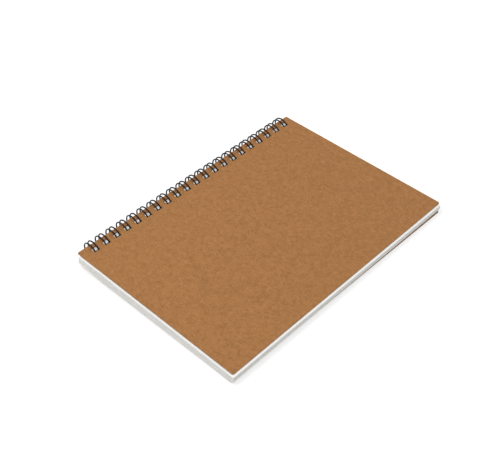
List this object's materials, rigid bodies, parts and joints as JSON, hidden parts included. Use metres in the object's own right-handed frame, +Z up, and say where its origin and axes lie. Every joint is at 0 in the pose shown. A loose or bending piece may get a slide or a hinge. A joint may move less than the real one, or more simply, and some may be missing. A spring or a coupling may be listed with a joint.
{
  "type": "spiral notebook",
  "caption": "Spiral notebook with plain kraft board covers, a block of white sheets and a black twin-loop wire binding along the spine; both covers swing open on the wire.",
  "frame": {"origin": "centre of the base of the bounding box, on the surface the notebook lies on", "axes": "+Y along the spine, +X from the spine to the fore edge, +Z up through the closed notebook"},
  "size_m": [0.1552, 0.2116, 0.0141],
  "materials": {
    "kraft_board": "matte",
    "paper": "matte",
    "black_wire": "gloss"
  },
  "bodies": {
    "book_block": {"page_block": "paper", "binding_wire": "black_wire"},
    "front_board": {"front_cover": "kraft_board"},
    "back_board": {"back_cover": "kraft_board"}
  },
  "joints": [
    {"name": "front_cover_open", "type": "hinge", "parent": "book_block", "child": "front_board", "pos_m": [-0.07052, 0, 0.00705], "axis": [0, -1, 0], "range_deg": [0, 180]},
    {"name": "back_cover_open", "type": "hinge", "parent": "book_block", "child": "back_board", "pos_m": [-0.07052, 0, 0.00705], "axis": [0, 1, 0], "range_deg": [0, 180]}
  ]
}
